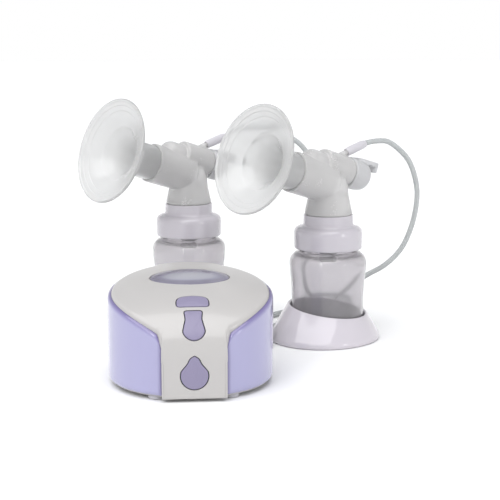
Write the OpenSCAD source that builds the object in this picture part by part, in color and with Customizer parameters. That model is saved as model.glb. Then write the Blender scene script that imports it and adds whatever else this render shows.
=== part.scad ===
// Double electric breast pump: a mains pump unit and two collection kits joined by soft tubing.
// Millimetres, +Z up. The pump unit faces -Y. Every piece stands on the plane z = 0.

/* [Pump unit] */
// Half width of the pump unit, seen from above
body_r = 54.4; // [50:0.2:66]
// From the pump unit's centre to its flat front band
front_y = 53.2; // [50:0.2:66]
// Height of the highest edge, at the back
body_h = 69.5; // [58:0.5:84]
// Height at which the front face starts to curve back
brow_h = 30; // [25:1:36]
// Width of the white front and back bands
band_w = 40; // [34:1:48]
// Wall thickness of the casing shells
wall = 2; // [1.6:0.1:2.4]
// Height of the rubber feet
foot_h = 2.5; // [2:0.5:4]
// Width of the display window
lens_w = 52; // [44:1:62]
// Depth of the display window
lens_d = 34; // [28:1:40]
// Gap all round a push button
button_gap = 0.4; // [0.3:0.1:0.6]
// How far a button stands proud of the casing
button_proud = 0.7; // [0.4:0.1:1.2]
// Radius of the direct current inlet's bore
inlet_r = 2.8; // [2.5:0.1:3.3]

/* [Collection kit] */
// Outer diameter of the screw collar
collar_d = 50; // [46:0.5:60]
// Outer radius of the bottle at its shoulder
bottle_r = 28.6; // [26:0.2:34]
// Height of the bottle's shoulder above the table
bottle_h = 57; // [50:1:70]
// Outer radius of the bottle stand's foot
stand_r = 38.8; // [37:0.2:48]
// Bore of the breast shield's tunnel
tunnel_d = 24; // [21:0.5:27]
// Wall of the breast shield
shield_wall = 1.4; // [1.2:0.1:1.8]
// Radius of the breast shield's rim
rim_r = 40; // [36:0.5:48]
// Distance of the shield's rim from the bottle axis, along the tunnel
rim_u = 76; // [68:1:92]
// Upward tilt of the shield's tunnel
tilt = 17.5; // [14:0.5:22]

/* [Tubing] */
// Outer diameter of the air tubing
tube_d = 4; // [4:0.1:4.6]

/* [Layout] */
// Pump unit's centre, sideways
pump_x = -36.5; // [-40:0.5:-28]
// Pump unit's centre, front to back
pump_y = -81; // [-90:0.5:-78]
// Turn of both collection kits about their bottles
kit_turn = -54.7; // [-60:0.1:-50]

/* [Hidden] */
RIGHT = 0;
LEFT = 1;
kit_at = [[70.5, 28, 0], [-30, 96, 0]];
$fn = 72;
eps = 0.01;

// Casing: the top is a long curve from the brow up to the ridge, crowned across.
base_z = foot_h;
ridge_y = body_r - 4.4;
curve_n = 2.35;
crown = 0.002;
edge_r = 2.4;
panel_drop = 2;
seam_gap = 0.25;
band_a = asin(band_w / 2 / body_r);
shell_z = base_z + 0.6;
tray_r = body_r - wall - 0.4;
tray_front = front_y - wall - 0.4;
tray_floor = 2;
tray_h = 24;
screw_r = 1.3;
screw_len = 12;
boss_r = 3.4;

function clamp01(t) = max(0, min(1, t));
function curve(u) = pow(max(0, 1 - pow(clamp01(u), curve_n)), 1 / curve_n);
function top_z(x, y, inset) =
    brow_h + (body_h - brow_h - inset) * curve((ridge_y - y) / (ridge_y + front_y - inset))
    - crown * x * x;
function plan_r(a, inset) = (abs(a) < band_a ? front_y / cos(a) : body_r) - inset;
function plan(a, s, inset) = plan_r(a, inset) * s * [sin(a), -cos(a)];
form_angles = concat(
    [for (a = [-band_a : band_a / 4 : band_a - 0.5]) a + (a < 0.1 - band_a ? 0.4 : 0)],
    [band_a - 0.4],
    [for (a = [band_a : (360 - 2 * band_a) / 54 : 360.1 - band_a]) a]
);
form_scales = [1, 0.985, 0.955, 0.91, 0.85, 0.77, 0.66, 0.52, 0.36, 0.18];

// One closed ring of the casing's form, at height step k.
function form_angle(i) = let (a = form_angles[i]) a > 180 ? a - 360 : a;
function form_ring(k, inset) = [for (i = [0 : len(form_angles) - 1])
    let (a = form_angle(i))
    k < 2
        ? [plan(a, 1, inset + (k == 0 ? 1.2 : 0))[0], plan(a, 1, inset + (k == 0 ? 1.2 : 0))[1],
           shell_z + inset + 1.2 * k]
        : let (s = form_scales[k - 2], p = plan(a, s, inset + (k == 2 ? 0 : 0.4)))
          [p[0], p[1], top_z(p[0], p[1], inset) - (k == 2 ? edge_r : k == 3 ? edge_r / 4 : 0)]];
function form_points(inset) = concat(
    [[0, 0, shell_z + inset]],
    [for (k = [0 : len(form_scales) + 1]) each form_ring(k, inset)],
    [[0, 0, top_z(0, 0, inset)]]
);
function ring_faces(n, rings) = concat(
    [for (i = [0 : n - 1]) [0, 1 + i, 1 + (i + 1) % n]],
    [for (k = [0 : rings - 2], i = [0 : n - 1], half = [0, 1])
        let (a = 1 + k * n + i, b = 1 + k * n + (i + 1) % n)
        half == 0 ? [a, a + n, b] : [b, a + n, b + n]],
    [for (i = [0 : n - 1])
        [1 + rings * n, 1 + (rings - 1) * n + (i + 1) % n, 1 + (rings - 1) * n + i]]
);

// Side panels: a band of the wall whose top follows the casing's edge.
panel_steps = 26;
corner_a = 4;
function panel_a(i) = band_a + (180 - 2 * band_a) * i / panel_steps;
function panel_top(a) =
    let (p = plan(a, 1, 0), t = clamp01(min(a - band_a, 180 - band_a - a) / corner_a))
    top_z(p[0], p[1], 0) - edge_r - panel_drop - 6 * pow(1 - t, 2);
function panel_points(side, r_in, r_out, z_low, grow) = [
    for (i = [0 : panel_steps])
        let (a = panel_a(i), edge = i == 0 ? -grow : i == panel_steps ? grow : 0,
             d = [side * sin(a + edge), -cos(a + edge)], z = panel_top(a) + grow)
        each [[d[0] * r_in, d[1] * r_in, z_low], [d[0] * r_out, d[1] * r_out, z_low],
              [d[0] * r_out, d[1] * r_out, z], [d[0] * r_in, d[1] * r_in, z]]
];
function strip_faces(steps) = concat(
    [[3, 2, 1, 0]],
    [for (i = [0 : steps - 1], k = [0 : 3], half = [0, 1])
        let (a = 4 * i + k, b = 4 * i + (k + 1) % 4)
        half == 0 ? [a, b, a + 4] : [b, b + 4, a + 4]],
    [[4 * steps, 4 * steps + 1, 4 * steps + 2, 4 * steps + 3]]
);
function flip(faces) = [for (f = faces) [for (i = [len(f) - 1 : -1 : 0]) f[i]]];

// Push buttons: centre [y, z], lean of the pressing direction from upright, travel.
power_at = [-29, 59.2];
power_lean = 22;
mode_at = [-46.5, 48.5];
mode_lean = 58;
suction_at = [-front_y, 18.5];
suction_lean = 90;
button_travel = 0.8;
button_depth = 5;
switch_gap = 0.5;
switch_h = 3;
lens_y = 12;
lens_lean = 6;

// Works inside the casing
motor_r = 12;
motor_len = 28;
motor_at = [10, 14, 22];
shaft_r = 1;
cam_r = 5;
throw = 1.5;
pin_r = 1.5;
rod_t = 2.6;
rod_h = 17.5;
port_x = 14;
port_z = 22;
port_y = body_r + 2.6;
port_r = 4;
inlet_at = [60, 16];

// Collection kit, in its own frame: bottle axis upright, shield towards -Y.
axis_z = 116.2;
rest_z = 3;
neck_r = collar_d / 2 - 4.8;
collar_z = bottle_h + 11.3;
flange_z = collar_z + 11.2;
band_top = collar_z + 25;
skirt_r = 17.6;
run_gap = 0.06;
tunnel_r = tunnel_d / 2 + shield_wall;
tunnel_end = 22;
socket_wall = 1.5;
socket_mouth = 38.5;
chamber_v = 12.3;
chamber_r = 11.2;
chamber_front = 12;
chamber_back = -15;
lump_r = 8.8;
cap_back = -36.7;
nipple_lean = 15.6;
nipple_at = [0, 17.1, 137.7];
sleeve_len = 20.8;
sleeve_r = 3.2;
plug_in = 4;
stand_turn = -62.9;
stand_mid = 22.6;
stand_slope = 7.4;
stand_stretch = 1.1;
stand_shift = 2.4;
stand_lip = 2.2;
seat_gap = 0.6;

// Tubing: round numbers chosen along each route. Coils lie on the table.
coil_r = 23;
coil_pitch = tube_d + 0.1;
right_coil_at = [0.5, 14.5];
right_coil_turns = 3;
left_coil_at = [80.5, 101.5];
left_coil_turns = 3;
right_drop = [
    [111.5, 56.5, 144.5], [120.5, 60.5, 143.5], [129.5, 63.5, 137.5], [137.5, 65.5, 129], [142.5, 66.5, 118],
    [145.5, 67.5, 104], [144.5, 68.5, 88], [140.5, 69.5, 72], [133.5, 70.5, 57.5], [121.5, 71.5, 45.5],
    [106.5, 72.5, 37], [89.5, 73.5, 24], [73.5, 72.5, 11], [59.5, 69.5, 4], [45.5, 63.5, 2.2], [29.5, 55.5, 2.2],
    [13.5, 47.5, 2.2], [0.5, 40.5, 2.2], [-11, 34.4, 2.2]
];
right_lead = [[-22.5, 14.5, 15.2], [-22.5, 5.5, 15.8], [-22.5, -3.5, 18], [-22.5, -12.5, 20.8]];
left_drop = [
    [11.5, 124.5, 147], [25.5, 125.5, 148.5], [40.5, 121.5, 146.5], [54.5, 116.5, 141], [64.5, 113.5, 131.5],
    [69, 110.5, 119], [69.5, 106.5, 104], [67.5, 101.5, 88], [64, 96, 72], [60, 90.5, 57],
    [57.5, 85, 43], [58.5, 81, 31], [63, 79, 21.5], [71, 78.3, 16], [80.5, 78.5, 14.3]
];
left_lead = [
    [67, 120, 2.2], [56.5, 112.5, 2.2], [44.5, 102.5, 2.2], [32.5, 91.5, 2.2], [20.5, 80.5, 2.2],
    [9.5, 71, 2.2], [-1.5, 61.5, 2.2], [-13.5, 53.5, 2.2], [-26.5, 45.5, 2.2], [-37.5, 34.5, 2.2],
    [-45.5, 21.5, 3], [-49, 8.5, 7], [-50, -2.5, 12.5], [-50.5, -11.5, 18]
];
tube_sides = 8;
ring_step = 9;

module at_pump() {
    translate([pump_x, pump_y, 0]) children();
}

module at_kit(k) {
    translate(kit_at[k]) rotate([0, 0, kit_turn]) children();
}

// Along the shield's tunnel: local +Z runs out towards the rim, local +Y is up.
module on_axis(v = 0) {
    translate([0, 0, axis_z]) rotate([90 - tilt, 0, 0]) translate([0, v, 0]) children();
}

// The casing's outer form, moved inwards by inset.
module form(inset) {
    faces = ring_faces(len(form_angles), len(form_scales) + 2);
    polyhedron(form_points(inset), faces, convexity = 6);
}

module panel_band(side, r_in, r_out, z_low, grow) {
    faces = strip_faces(panel_steps);
    polyhedron(
        panel_points(side, r_in, r_out, z_low, grow),
        side > 0 ? faces : flip(faces),
        convexity = 6
    );
}

// A prism that passes through the casing along a button's pressing direction.
module button_prism(at, lean, low, high) {
    translate([0, at[0], at[1]]) rotate([lean, 0, 0]) translate([0, 0, -low])
        linear_extrude(low + high) children();
}

module power_outline(grow = 0) {
    polygon([
        [-10.2 - grow, -2.6], [-8.6 - grow, -4.6 - grow], [8.6 + grow, -4.6 - grow],
        [10.2 + grow, -2.6], [9.6 + grow, 3.4], [7.4, 5 + grow], [0, 5.8 + grow],
        [-7.4, 5 + grow], [-9.6 - grow, 3.4]
    ]);
}

module mode_outline(grow = 0) {
    translate([0, -3.4]) circle(7 + grow);
    polygon([
        [-6.9 - grow, -2.2], [6.9 + grow, -2.2], [5.2 + grow, 3.2], [5.6 + grow, 9.6],
        [4.6, 10.6 + grow], [-4.6, 10.6 + grow], [-5.6 - grow, 9.6], [-5.2 - grow, 3.2]
    ]);
}

module suction_outline(grow = 0) {
    translate([0, -1.6]) circle(8.7 + grow);
    polygon([
        [-8 - grow, 1.8], [8 + grow, 1.8], [3.6 + grow, 6.8], [2.8 + grow, 9.6],
        [0, 10.9 + grow], [-2.8 - grow, 9.6], [-3.6 - grow, 6.8]
    ]);
}

module lens_outline(grow = 0) {
    arc_r = (pow(lens_w / 2, 2) + pow(lens_d / 2, 2)) / lens_d;
    intersection() {
        translate([0, arc_r - lens_d / 2]) circle(arc_r + grow);
        translate([0, lens_d / 2 - arc_r]) circle(arc_r + grow);
    }
}

module base_shell() {
    color("white") at_pump() difference() {
        intersection() {
            union() {
                translate([0, 0, base_z]) cylinder(r = tray_r, h = tray_floor);
                translate([0, 0, base_z]) cylinder(r = tray_r - 0.6, h = tray_h - base_z);
            }
            translate([-body_r, -tray_front, 0]) cube([2 * body_r, 2 * tray_front, body_h]);
        }
        intersection() {
            translate([0, 0, base_z + tray_floor]) cylinder(r = tray_r - 0.6 - wall, h = tray_h);
            translate([-body_r, wall - tray_front, 0])
                cube([2 * body_r, 2 * (tray_front - wall), body_h]);
        }
        button_prism(suction_at, suction_lean, 8, 8) suction_outline(1);
        for (x = [-port_x, port_x])
            translate([x, 0, port_z]) rotate([-90, 0, 0]) cylinder(r = port_r + 0.3, h = body_r);
        rotate([0, 0, inlet_at[0]]) translate([0, 0, inlet_at[1]]) rotate([-90, 0, 0])
            cylinder(r = 5.3, h = body_r);
        for (p = screw_places())
            translate([p[0], p[1], 0]) cylinder(r = screw_r + 0.3, h = body_h);
    }
}

function screw_places() = [for (a = [45, 135, 225, 315]) 44 * [cos(a), sin(a)]];

module top_cover() {
    color("white") at_pump() {
        cover_skin();
        for (p = screw_places())
            intersection() {
                form(wall / 2);
                translate([p[0], p[1], base_z + tray_floor]) difference() {
                    cylinder(r = boss_r, h = body_h);
                    translate([0, 0, -1]) cylinder(r = screw_r + run_gap, h = screw_len);
                }
            }
    }
}

module cover_skin() {
    difference() {
        form(0);
        form(wall);
        intersection() {
            cylinder(r = body_r - wall - 0.1, h = shell_z + wall + 2);
            translate([-body_r, wall - front_y, 0]) cube([2 * body_r, body_r + front_y, 20]);
        }
        panel_band(1, body_r - wall - 0.3, body_r + 3, 0, seam_gap);
        panel_band(-1, body_r - wall - 0.3, body_r + 3, 0, seam_gap);
        button_prism(power_at, power_lean, 8, 8) power_outline(button_gap);
        button_prism(mode_at, mode_lean, 8, 8) mode_outline(button_gap);
        button_prism(suction_at, suction_lean, 8, 8) suction_outline(button_gap);
        button_prism([lens_y, top_z(0, lens_y, 0)], lens_lean, 8, 8) lens_outline(0.15);
        for (x = [-port_x, port_x])
            translate([x, 0, port_z]) rotate([-90, 0, 0]) cylinder(r = port_r + 0.15, h = 70);
    }
}

module side_panel(side) {
    color("#b9acdf") at_pump() difference() {
        panel_band(side, body_r - wall, body_r, shell_z, 0);
        if (side < 0)
            rotate([0, 0, inlet_at[0]]) translate([0, 0, inlet_at[1]]) rotate([-90, 0, 0])
                cylinder(r = 5.1, h = 70);
    }
}

module casing_patch(low, high) {
    intersection() {
        difference() {
            form(-high);
            form(low);
        }
        children();
    }
}

module display_window() {
    color("#6f6a86") at_pump() casing_patch(1.6, 0)
        button_prism([lens_y, top_z(0, lens_y, 0)], lens_lean, 8, 8) lens_outline();
}

module display_module() {
    color("#4c5750") at_pump() translate([0, lens_y, top_z(0, lens_y, 0) - 5.4])
        rotate([lens_lean, 0, 0]) translate([-21, -11, -3]) cube([42, 22, 3]);
}

module power_button() {
    color("#b9acdf") at_pump() casing_patch(button_depth - 2, button_proud)
        button_prism(power_at, power_lean, 8, 8) power_outline();
}

module mode_button() {
    color("#b9acdf") at_pump() casing_patch(button_depth - 2, button_proud)
        button_prism(mode_at, mode_lean, 8, 8) mode_outline();
}

module suction_button() {
    color("#b9acdf") at_pump() casing_patch(button_depth - 2, button_proud)
        button_prism(suction_at, suction_lean, 8, 8) suction_outline();
}

// A switch under a button, clear of it by the button's travel and a little more.
module switch_under(at, lean, thickness) {
    translate([0, at[0], at[1]]) rotate([lean, 0, 0])
        translate([0, 0, -thickness - button_travel - switch_gap - switch_h])
            cylinder(r = 3, h = switch_h);
}

module button_switches() {
    color("silver") at_pump() {
        switch_under(power_at, power_lean, 4.5);
        switch_under(mode_at, mode_lean, 4.6);
        switch_under(suction_at, suction_lean, button_depth - 2);
    }
}

module control_board() {
    color("#2f6b4a") at_pump() {
        translate([-17, -front_y + 7.5, 8]) cube([34, 1.6, 22]);
        translate([0, power_at[0], power_at[1]]) rotate([power_lean, 0, 0])
            translate([-16, -8, -11.6]) cube([32, 26, 1.6]);
    }
}

module motor() {
    color("silver") at_pump() translate(motor_at) rotate([0, 90, 0]) difference() {
        union() {
            cylinder(r = motor_r, h = motor_len);
            translate([0, 0, -2]) cylinder(r = 4, h = 2 + eps);
        }
        translate([0, 0, -3]) cylinder(r = shaft_r + run_gap, h = 14);
    }
}

module motor_bracket() {
    color("#d8d8dc") at_pump() difference() {
        translate([motor_at[0] + 4, motor_at[1] - 13, base_z + tray_floor])
            cube([20, 26, motor_at[2] - base_z - tray_floor]);
        translate(motor_at) rotate([0, 90, 0]) cylinder(r = motor_r, h = motor_len);
    }
}

module eccentric_shaft() {
    color("#8a8d92") at_pump() translate(motor_at) rotate([0, -90, 0]) {
        translate([0, 0, -10]) cylinder(r = shaft_r, h = 14);
        translate([0, 0, 3]) cylinder(r = cam_r, h = 4);
        translate([throw, 0, 7]) cylinder(r = pin_r, h = 4);
    }
}

// The rod's eye is a ring round the whole path of the crank pin, so the pin turns clear of it.
module connecting_rod() {
    eye_bore = throw + pin_r + 0.4;
    color("#e6e2d8") at_pump() translate([motor_at[0] - 8, motor_at[1], motor_at[2]]) {
        rotate([0, -90, 0]) difference() {
            union() {
                cylinder(r = eye_bore + 2, h = rod_t);
                translate([0, -2, 0]) cube([rod_h, 4, rod_t]);
            }
            translate([0, 0, -1]) cylinder(r = eye_bore, h = rod_t + 2);
        }
        translate([-rod_t / 2, 0, rod_h]) cylinder(r = 4, h = 1.6);
    }
}

module pump_diaphragm() {
    color("#55565a") at_pump()
        translate([motor_at[0] - 9.3, motor_at[1], motor_at[2] + rod_h + 1.6])
            cylinder(r = 10, h = 1.4);
}

module pump_head() {
    head_z = motor_at[2] + rod_h + 3;
    color("#d8d8dc") at_pump() translate([motor_at[0] - 9.3, motor_at[1], head_z]) {
        difference() {
            translate([-13, -13, 0]) cube([26, 26, 9]);
            translate([0, 0, -1]) cylinder(r = 8, h = 6);
        }
        translate([-13, -13, base_z + tray_floor - head_z])
            cube([2.4, 26, head_z - base_z - tray_floor]);
        translate([10.6, -13, motor_at[2] + motor_r - head_z])
            cube([2.4, 26, head_z - motor_at[2] - motor_r]);
    }
}

module release_valve() {
    color("#2c2d33") at_pump() translate([-27, 4, base_z + tray_floor])
        difference() {
            cube([14, 22, 14]);
            translate([7, -1, 7]) rotate([-90, 0, 0]) cylinder(r = 1.5, h = 8);
        }
}

module air_manifold() {
    color("#c9cbd0") at_pump() difference() {
        translate([-port_x - 5, 38, port_z - 5]) cube([2 * port_x + 10, 6, 10]);
        for (x = [-port_x, port_x])
            translate([x, 40, port_z]) rotate([-90, 0, 0]) cylinder(r = 2, h = 6);
    }
}

module outlet_ports() {
    color("#e4e4ea") at_pump() for (x = [-port_x, port_x])
        translate([x, 44, port_z]) rotate([-90, 0, 0]) difference() {
            union() {
                cylinder(r = port_r, h = port_y - 44);
                translate([0, 0, body_r - 44.4]) cylinder(r = port_r + 1.2, h = 1.2);
            }
            translate([0, 0, -1]) cylinder(r = 1.2, h = port_y - 42);
        }
}

module power_inlet() {
    color("#2c2d33") at_pump() rotate([0, 0, inlet_at[0]])
        translate([0, body_r - 12, inlet_at[1]]) rotate([-90, 0, 0]) difference() {
            union() {
                cylinder(r = 4.9, h = 12.4);
                translate([0, 0, 12]) cylinder(r = 5, h = 0.4);
            }
            translate([0, 0, 2.4]) cylinder(r = inlet_r, h = 12);
        }
}

module feet() {
    color("#e8e6ea") at_pump() for (x = [-23.5, 23.5], y = [-40, 40])
        translate([x, y, 0]) cylinder(r = 5.5, h = base_z);
}

module case_screws() {
    color("silver") at_pump() for (p = screw_places())
        translate([p[0], p[1], base_z - 1]) {
            cylinder(r = 2.8, h = 1);
            cylinder(r = screw_r, h = screw_len);
        }
}

// Breast shield: a wide shallow cone that steepens into the tunnel.
module shield(k) {
    r = tunnel_r;
    w = shield_wall;
    throat = rim_u - 21;
    knee_r = rim_r / 2;
    color("#dfe0e4") at_kit(k) on_axis() rotate_extrude() polygon([
        [r, tunnel_end], [r, throat - 3], [r + 0.8, throat + 1.5], [r + 3, throat + 6],
        [knee_r + 0.4, rim_u - 10.4], [rim_r - 12, rim_u - 5.8], [rim_r - 4, rim_u - 2],
        [rim_r - 0.6, rim_u - 0.7], [rim_r, rim_u + 0.3], [rim_r - 0.5, rim_u + 1.3],
        [rim_r - 1.6, rim_u + 1.4],
        [rim_r - 5, rim_u - 0.5], [rim_r - 12.6, rim_u - 4], [knee_r - 0.4, rim_u - 8.6],
        [r + 1.8, throat + 7.2], [r - w + 1, throat + 2.2], [r - w, throat - 2.4],
        [r - w, tunnel_end]
    ]);
}

// Connector: skirt over the bottle, socket for the shield, and the air chamber above.
module connector(k) {
    socket_r = tunnel_r + socket_wall;
    color("#cfd0d4") at_kit(k) difference() {
        union() {
            rotate_extrude() polygon([
                [9.4, flange_z], [20, flange_z], [20, flange_z + 1.8],
                [skirt_r - 1, flange_z + 1.8], [skirt_r - 1, band_top + 0.6],
                [skirt_r, band_top + 0.6], [14.8, axis_z - 9], [14.2, axis_z - 2],
                [12.6, axis_z + 5], [8, axis_z + 10], [0, axis_z + 12],
                [0, axis_z + 4], [9.4, axis_z - 2]
            ]);
            on_axis() translate([0, 0, 2]) cylinder(r = socket_r, h = socket_mouth - 2);
            on_axis(chamber_v) translate([0, 0, chamber_back])
                cylinder(r = chamber_r, h = chamber_front - chamber_back);
            on_axis(chamber_v - 0.6) translate([0, 0, chamber_front - 1])
                cylinder(r = lump_r, h = 11);
            on_axis(chamber_v - 0.6) translate([0, 0, chamber_front + 10]) sphere(r = lump_r);
            on_axis(chamber_v) translate([0, 0, chamber_back - 8])
                cylinder(r = chamber_r - 1.2, h = 9);
            translate(nipple_at) rotate([nipple_lean - 90, 0, 0]) translate([0, 0, -9])
                cylinder(r = 1.9, h = 17);
        }
        on_axis() translate([0, 0, tunnel_end - 0.5])
            cylinder(r = tunnel_r + run_gap, h = socket_mouth);
        on_axis() translate([0, 0, 5]) cylinder(r = tunnel_d / 2 - 0.4, h = tunnel_end);
        on_axis(chamber_v) translate([0, 0, chamber_back - 9])
            cylinder(r = chamber_r - 2.6, h = chamber_front - chamber_back + 7);
        translate([0, 0, collar_z - 5]) cylinder(r = 9.2, h = axis_z - collar_z + 2);
        translate(nipple_at) rotate([nipple_lean - 90, 0, 0]) translate([0, 0, -12])
            cylinder(r = 0.9, h = 24);
    }
}

module membrane(k) {
    cup_r = chamber_r - 2.9;
    color("#e9e7ea") at_kit(k) on_axis(chamber_v) rotate_extrude() polygon([
        [0, -8], [cup_r - 1, -8], [cup_r - 1, -22], [cup_r, -22], [cup_r, -7], [0, -7]
    ]);
}

// Soft cap with its pull tab, pushed over the back of the air chamber.
module backflow_cap(k) {
    color("#dcdce1") at_kit(k) on_axis(chamber_v) {
        difference() {
            translate([0, 0, cap_back]) cylinder(r = chamber_r + 0.3, h = chamber_back - cap_back - 0.2);
            translate([0, 0, chamber_back - 8.4])
                cylinder(r = chamber_r - 1.2 + run_gap, h = 9);
            translate([0, 0, cap_back + 2]) cylinder(r = chamber_r - 2.4, h = 20);
        }
        translate([-5, chamber_r - 1, cap_back - 8.6]) cube([10, 3, 20]);
        translate([-5, chamber_r - 5.4, cap_back - 8.6]) cube([10, 5, 3]);
    }
}

module tube_sleeve(k) {
    color("#ececf0") at_kit(k) translate(nipple_at) rotate([nipple_lean - 90, 0, 0])
        difference() {
            translate([0, 0, 0.5]) cylinder(r = sleeve_r, h = sleeve_len - 0.5);
            translate([0, 0, -1]) cylinder(r = 1.9 + run_gap, h = 10);
            translate([0, 0, sleeve_len - plug_in]) cylinder(r = tube_d / 2 + 0.1, h = 5);
            cylinder(r = 0.9, h = sleeve_len);
        }
}

// Silicone valve under the connector: a round top and two flat lips.
module duckbill(k) {
    color("#f1eff2") at_kit(k) difference() {
        union() {
            translate([0, 0, flange_z - 1.6]) cylinder(r = 11, h = 1.6);
            translate([0, 0, flange_z - 4]) cylinder(r = 9, h = 4);
            hull() {
                translate([0, 0, flange_z - 8]) cylinder(r = 8, h = 4, $fn = 32);
                translate([-7, -1, flange_z - 20]) cube([14, 2, 1]);
            }
        }
        translate([0, 0, flange_z - 8]) cylinder(r = 6.6, h = 9);
    }
}

module collar(k) {
    r = collar_d / 2;
    color("#f0ecf4") at_kit(k) rotate_extrude() polygon([
        [r, collar_z], [r + 0.1, collar_z + 10.8], [r - 0.8, collar_z + 13],
        [r - 3.4, collar_z + 14.8], [r - 6, collar_z + 16], [r - 6.7, collar_z + 17.6],
        [r - 6.8, band_top], [skirt_r - 0.6, band_top], [skirt_r - 0.6, flange_z + 2.2],
        [20.4, flange_z + 2.2], [20.4, flange_z - 0.4], [neck_r + 1.6, flange_z - 0.4],
        [neck_r + 1.6, collar_z]
    ]);
}

module bottle(k) {
    r = bottle_r;
    low = rest_z;
    color("#d4d6da", 0.5) at_kit(k) rotate_extrude() polygon([
        [0, low], [r - 4.6, low], [r - 2.2, low + 2], [r - 1.6, low + 8], [r - 1.9, 30],
        [r - 1.4, bottle_h - 15], [r - 0.4, bottle_h - 7], [r, bottle_h - 1],
        [r - 0.5, bottle_h + 1.8], [r - 2.4, bottle_h + 4.2], [neck_r + 1.6, bottle_h + 6],
        [neck_r, bottle_h + 7.6], [neck_r, flange_z], [neck_r - 3, flange_z],
        [neck_r - 3, bottle_h + 5.4], [r - 4, bottle_h + 2], [r - 1.8, bottle_h - 1.4],
        [r - 2.2, bottle_h - 7], [r - 3.2, bottle_h - 15], [r - 3.7, 30],
        [r - 3.4, low + 8], [r - 5.4, low + 2.4], [0, low + 2]
    ]);
}

// Stand: a hollow cone with an inner cup; its rim rises on one side.
// The stand's foot is an oval, longer and further out under the shield.
module stand_foot(r, low, high) {
    translate([0, -stand_shift, low]) scale([1, stand_stretch, 1]) cylinder(r = r, h = high - low);
}

module stand(k) {
    cup_r = bottle_r - 1.6 + seat_gap;
    color("white") at_kit(k) difference() {
        hull() {
            stand_foot(stand_r - 0.6, 0, 1);
            stand_foot(stand_r, 1.2, 3.4);
            translate([0, 0, stand_mid]) rotate([0, 0, stand_turn]) rotate([-stand_slope, 0, 0])
                translate([0, 0, -0.8]) cylinder(r = cup_r + stand_lip, h = 0.8);
        }
        translate([0, 0, rest_z]) cylinder(r = cup_r, h = 2 * stand_mid);
        translate([0, 0, -1]) cylinder(r = cup_r + 1.8, h = 2);
        rotate_extrude() polygon([
            [cup_r + 1.8, -1], [cup_r + 1.8, 8], [stand_r - 3, 3.4], [stand_r - 3, -1]
        ]);
    }
}

// Tubing swept along a route: a closed mesh with a ring of points at each step.
// A point on a smooth curve through p1 and p2, at t from 0 to 1.
function smooth(p0, p1, p2, p3, t) =
    0.5 * (2 * p1 + (p2 - p0) * t + (2 * p0 - 5 * p1 + 4 * p2 - p3) * t * t
    + (3 * p1 - p0 - 3 * p2 + p3) * t * t * t);
function refine(path) = let (n = len(path)) concat(
    [for (i = [0 : n - 2])
        let (steps = max(1, round(norm(path[i + 1] - path[i]) / ring_step)))
        for (j = [0 : steps - 1])
            smooth(path[max(0, i - 1)], path[i], path[i + 1], path[min(n - 1, i + 2)], j / steps)],
    [path[n - 1]]
);
function unit(v) = v / norm(v);
function heading(path, i) = unit(path[min(len(path) - 1, i + 1)] - path[max(0, i - 1)]);
function side_of(d) = unit(cross(d, abs(d[2]) > 0.85 ? [1, 0, 0] : [0, 0, 1]));
function carried(d, s) = unit(s - (s * d) * d);
function sides(path, i) =
    i == 0 ? [side_of(heading(path, 0))]
    : let (before = sides(path, i - 1))
      concat(before, [carried(heading(path, i), before[i - 1])]);
function tube_points(path) = let (s = sides(path, len(path) - 1)) [
    for (i = [0 : len(path) - 1], j = [0 : tube_sides - 1])
        let (d = heading(path, i), a = 360 * j / tube_sides)
        path[i] + tube_d / 2 * (cos(a) * s[i] + sin(a) * cross(d, s[i]))
];
function tube_faces(n) = concat(
    [[for (j = [0 : tube_sides - 1]) j]],
    [for (i = [0 : n - 2], j = [0 : tube_sides - 1], half = [0, 1])
        let (a = i * tube_sides + j, b = i * tube_sides + (j + 1) % tube_sides)
        half == 0 ? [a, a + tube_sides, b] : [b, a + tube_sides, b + tube_sides]],
    [[for (j = [tube_sides - 1 : -1 : 0]) (n - 1) * tube_sides + j]]
);
module sweep(route) {
    path = refine(route);
    polyhedron(tube_points(path), tube_faces(len(path)), convexity = 10);
}

function kit_point(k, p) = kit_at[k] + [
    p[0] * cos(kit_turn) - p[1] * sin(kit_turn),
    p[0] * sin(kit_turn) + p[1] * cos(kit_turn),
    p[2]
];
// Where the tubing enters a kit's sleeve, and a point a little way out of it.
function sleeve_end(k, out) = kit_point(k, nipple_at
    + (sleeve_len - plug_in + 0.3 + out) * [0, cos(nipple_lean), sin(nipple_lean)]);
function port_end(x, out) = [pump_x + x, pump_y + port_y + out, port_z];

module right_tube() {
    color("#d2d4d6") {
        sweep(concat([sleeve_end(RIGHT, 0), sleeve_end(RIGHT, 5)], right_drop));
        sweep(concat(right_lead, [port_end(port_x, 3), port_end(port_x, 0)]));
    }
}

module left_tube() {
    color("#d2d4d6") {
        sweep(concat([sleeve_end(LEFT, 0), sleeve_end(LEFT, 5)], left_drop));
        sweep(concat(left_lead, [port_end(-port_x, 3), port_end(-port_x, 0)]));
    }
}

module coil(at, layers) {
    h = (layers - 1) * coil_pitch + tube_d;
    color("#d2d4d6") translate([at[0], at[1], 0]) difference() {
        cylinder(r = coil_r + tube_d / 2, h = h);
        translate([0, 0, -1]) cylinder(r = coil_r - tube_d / 2, h = h + 2);
    }
}

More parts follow.
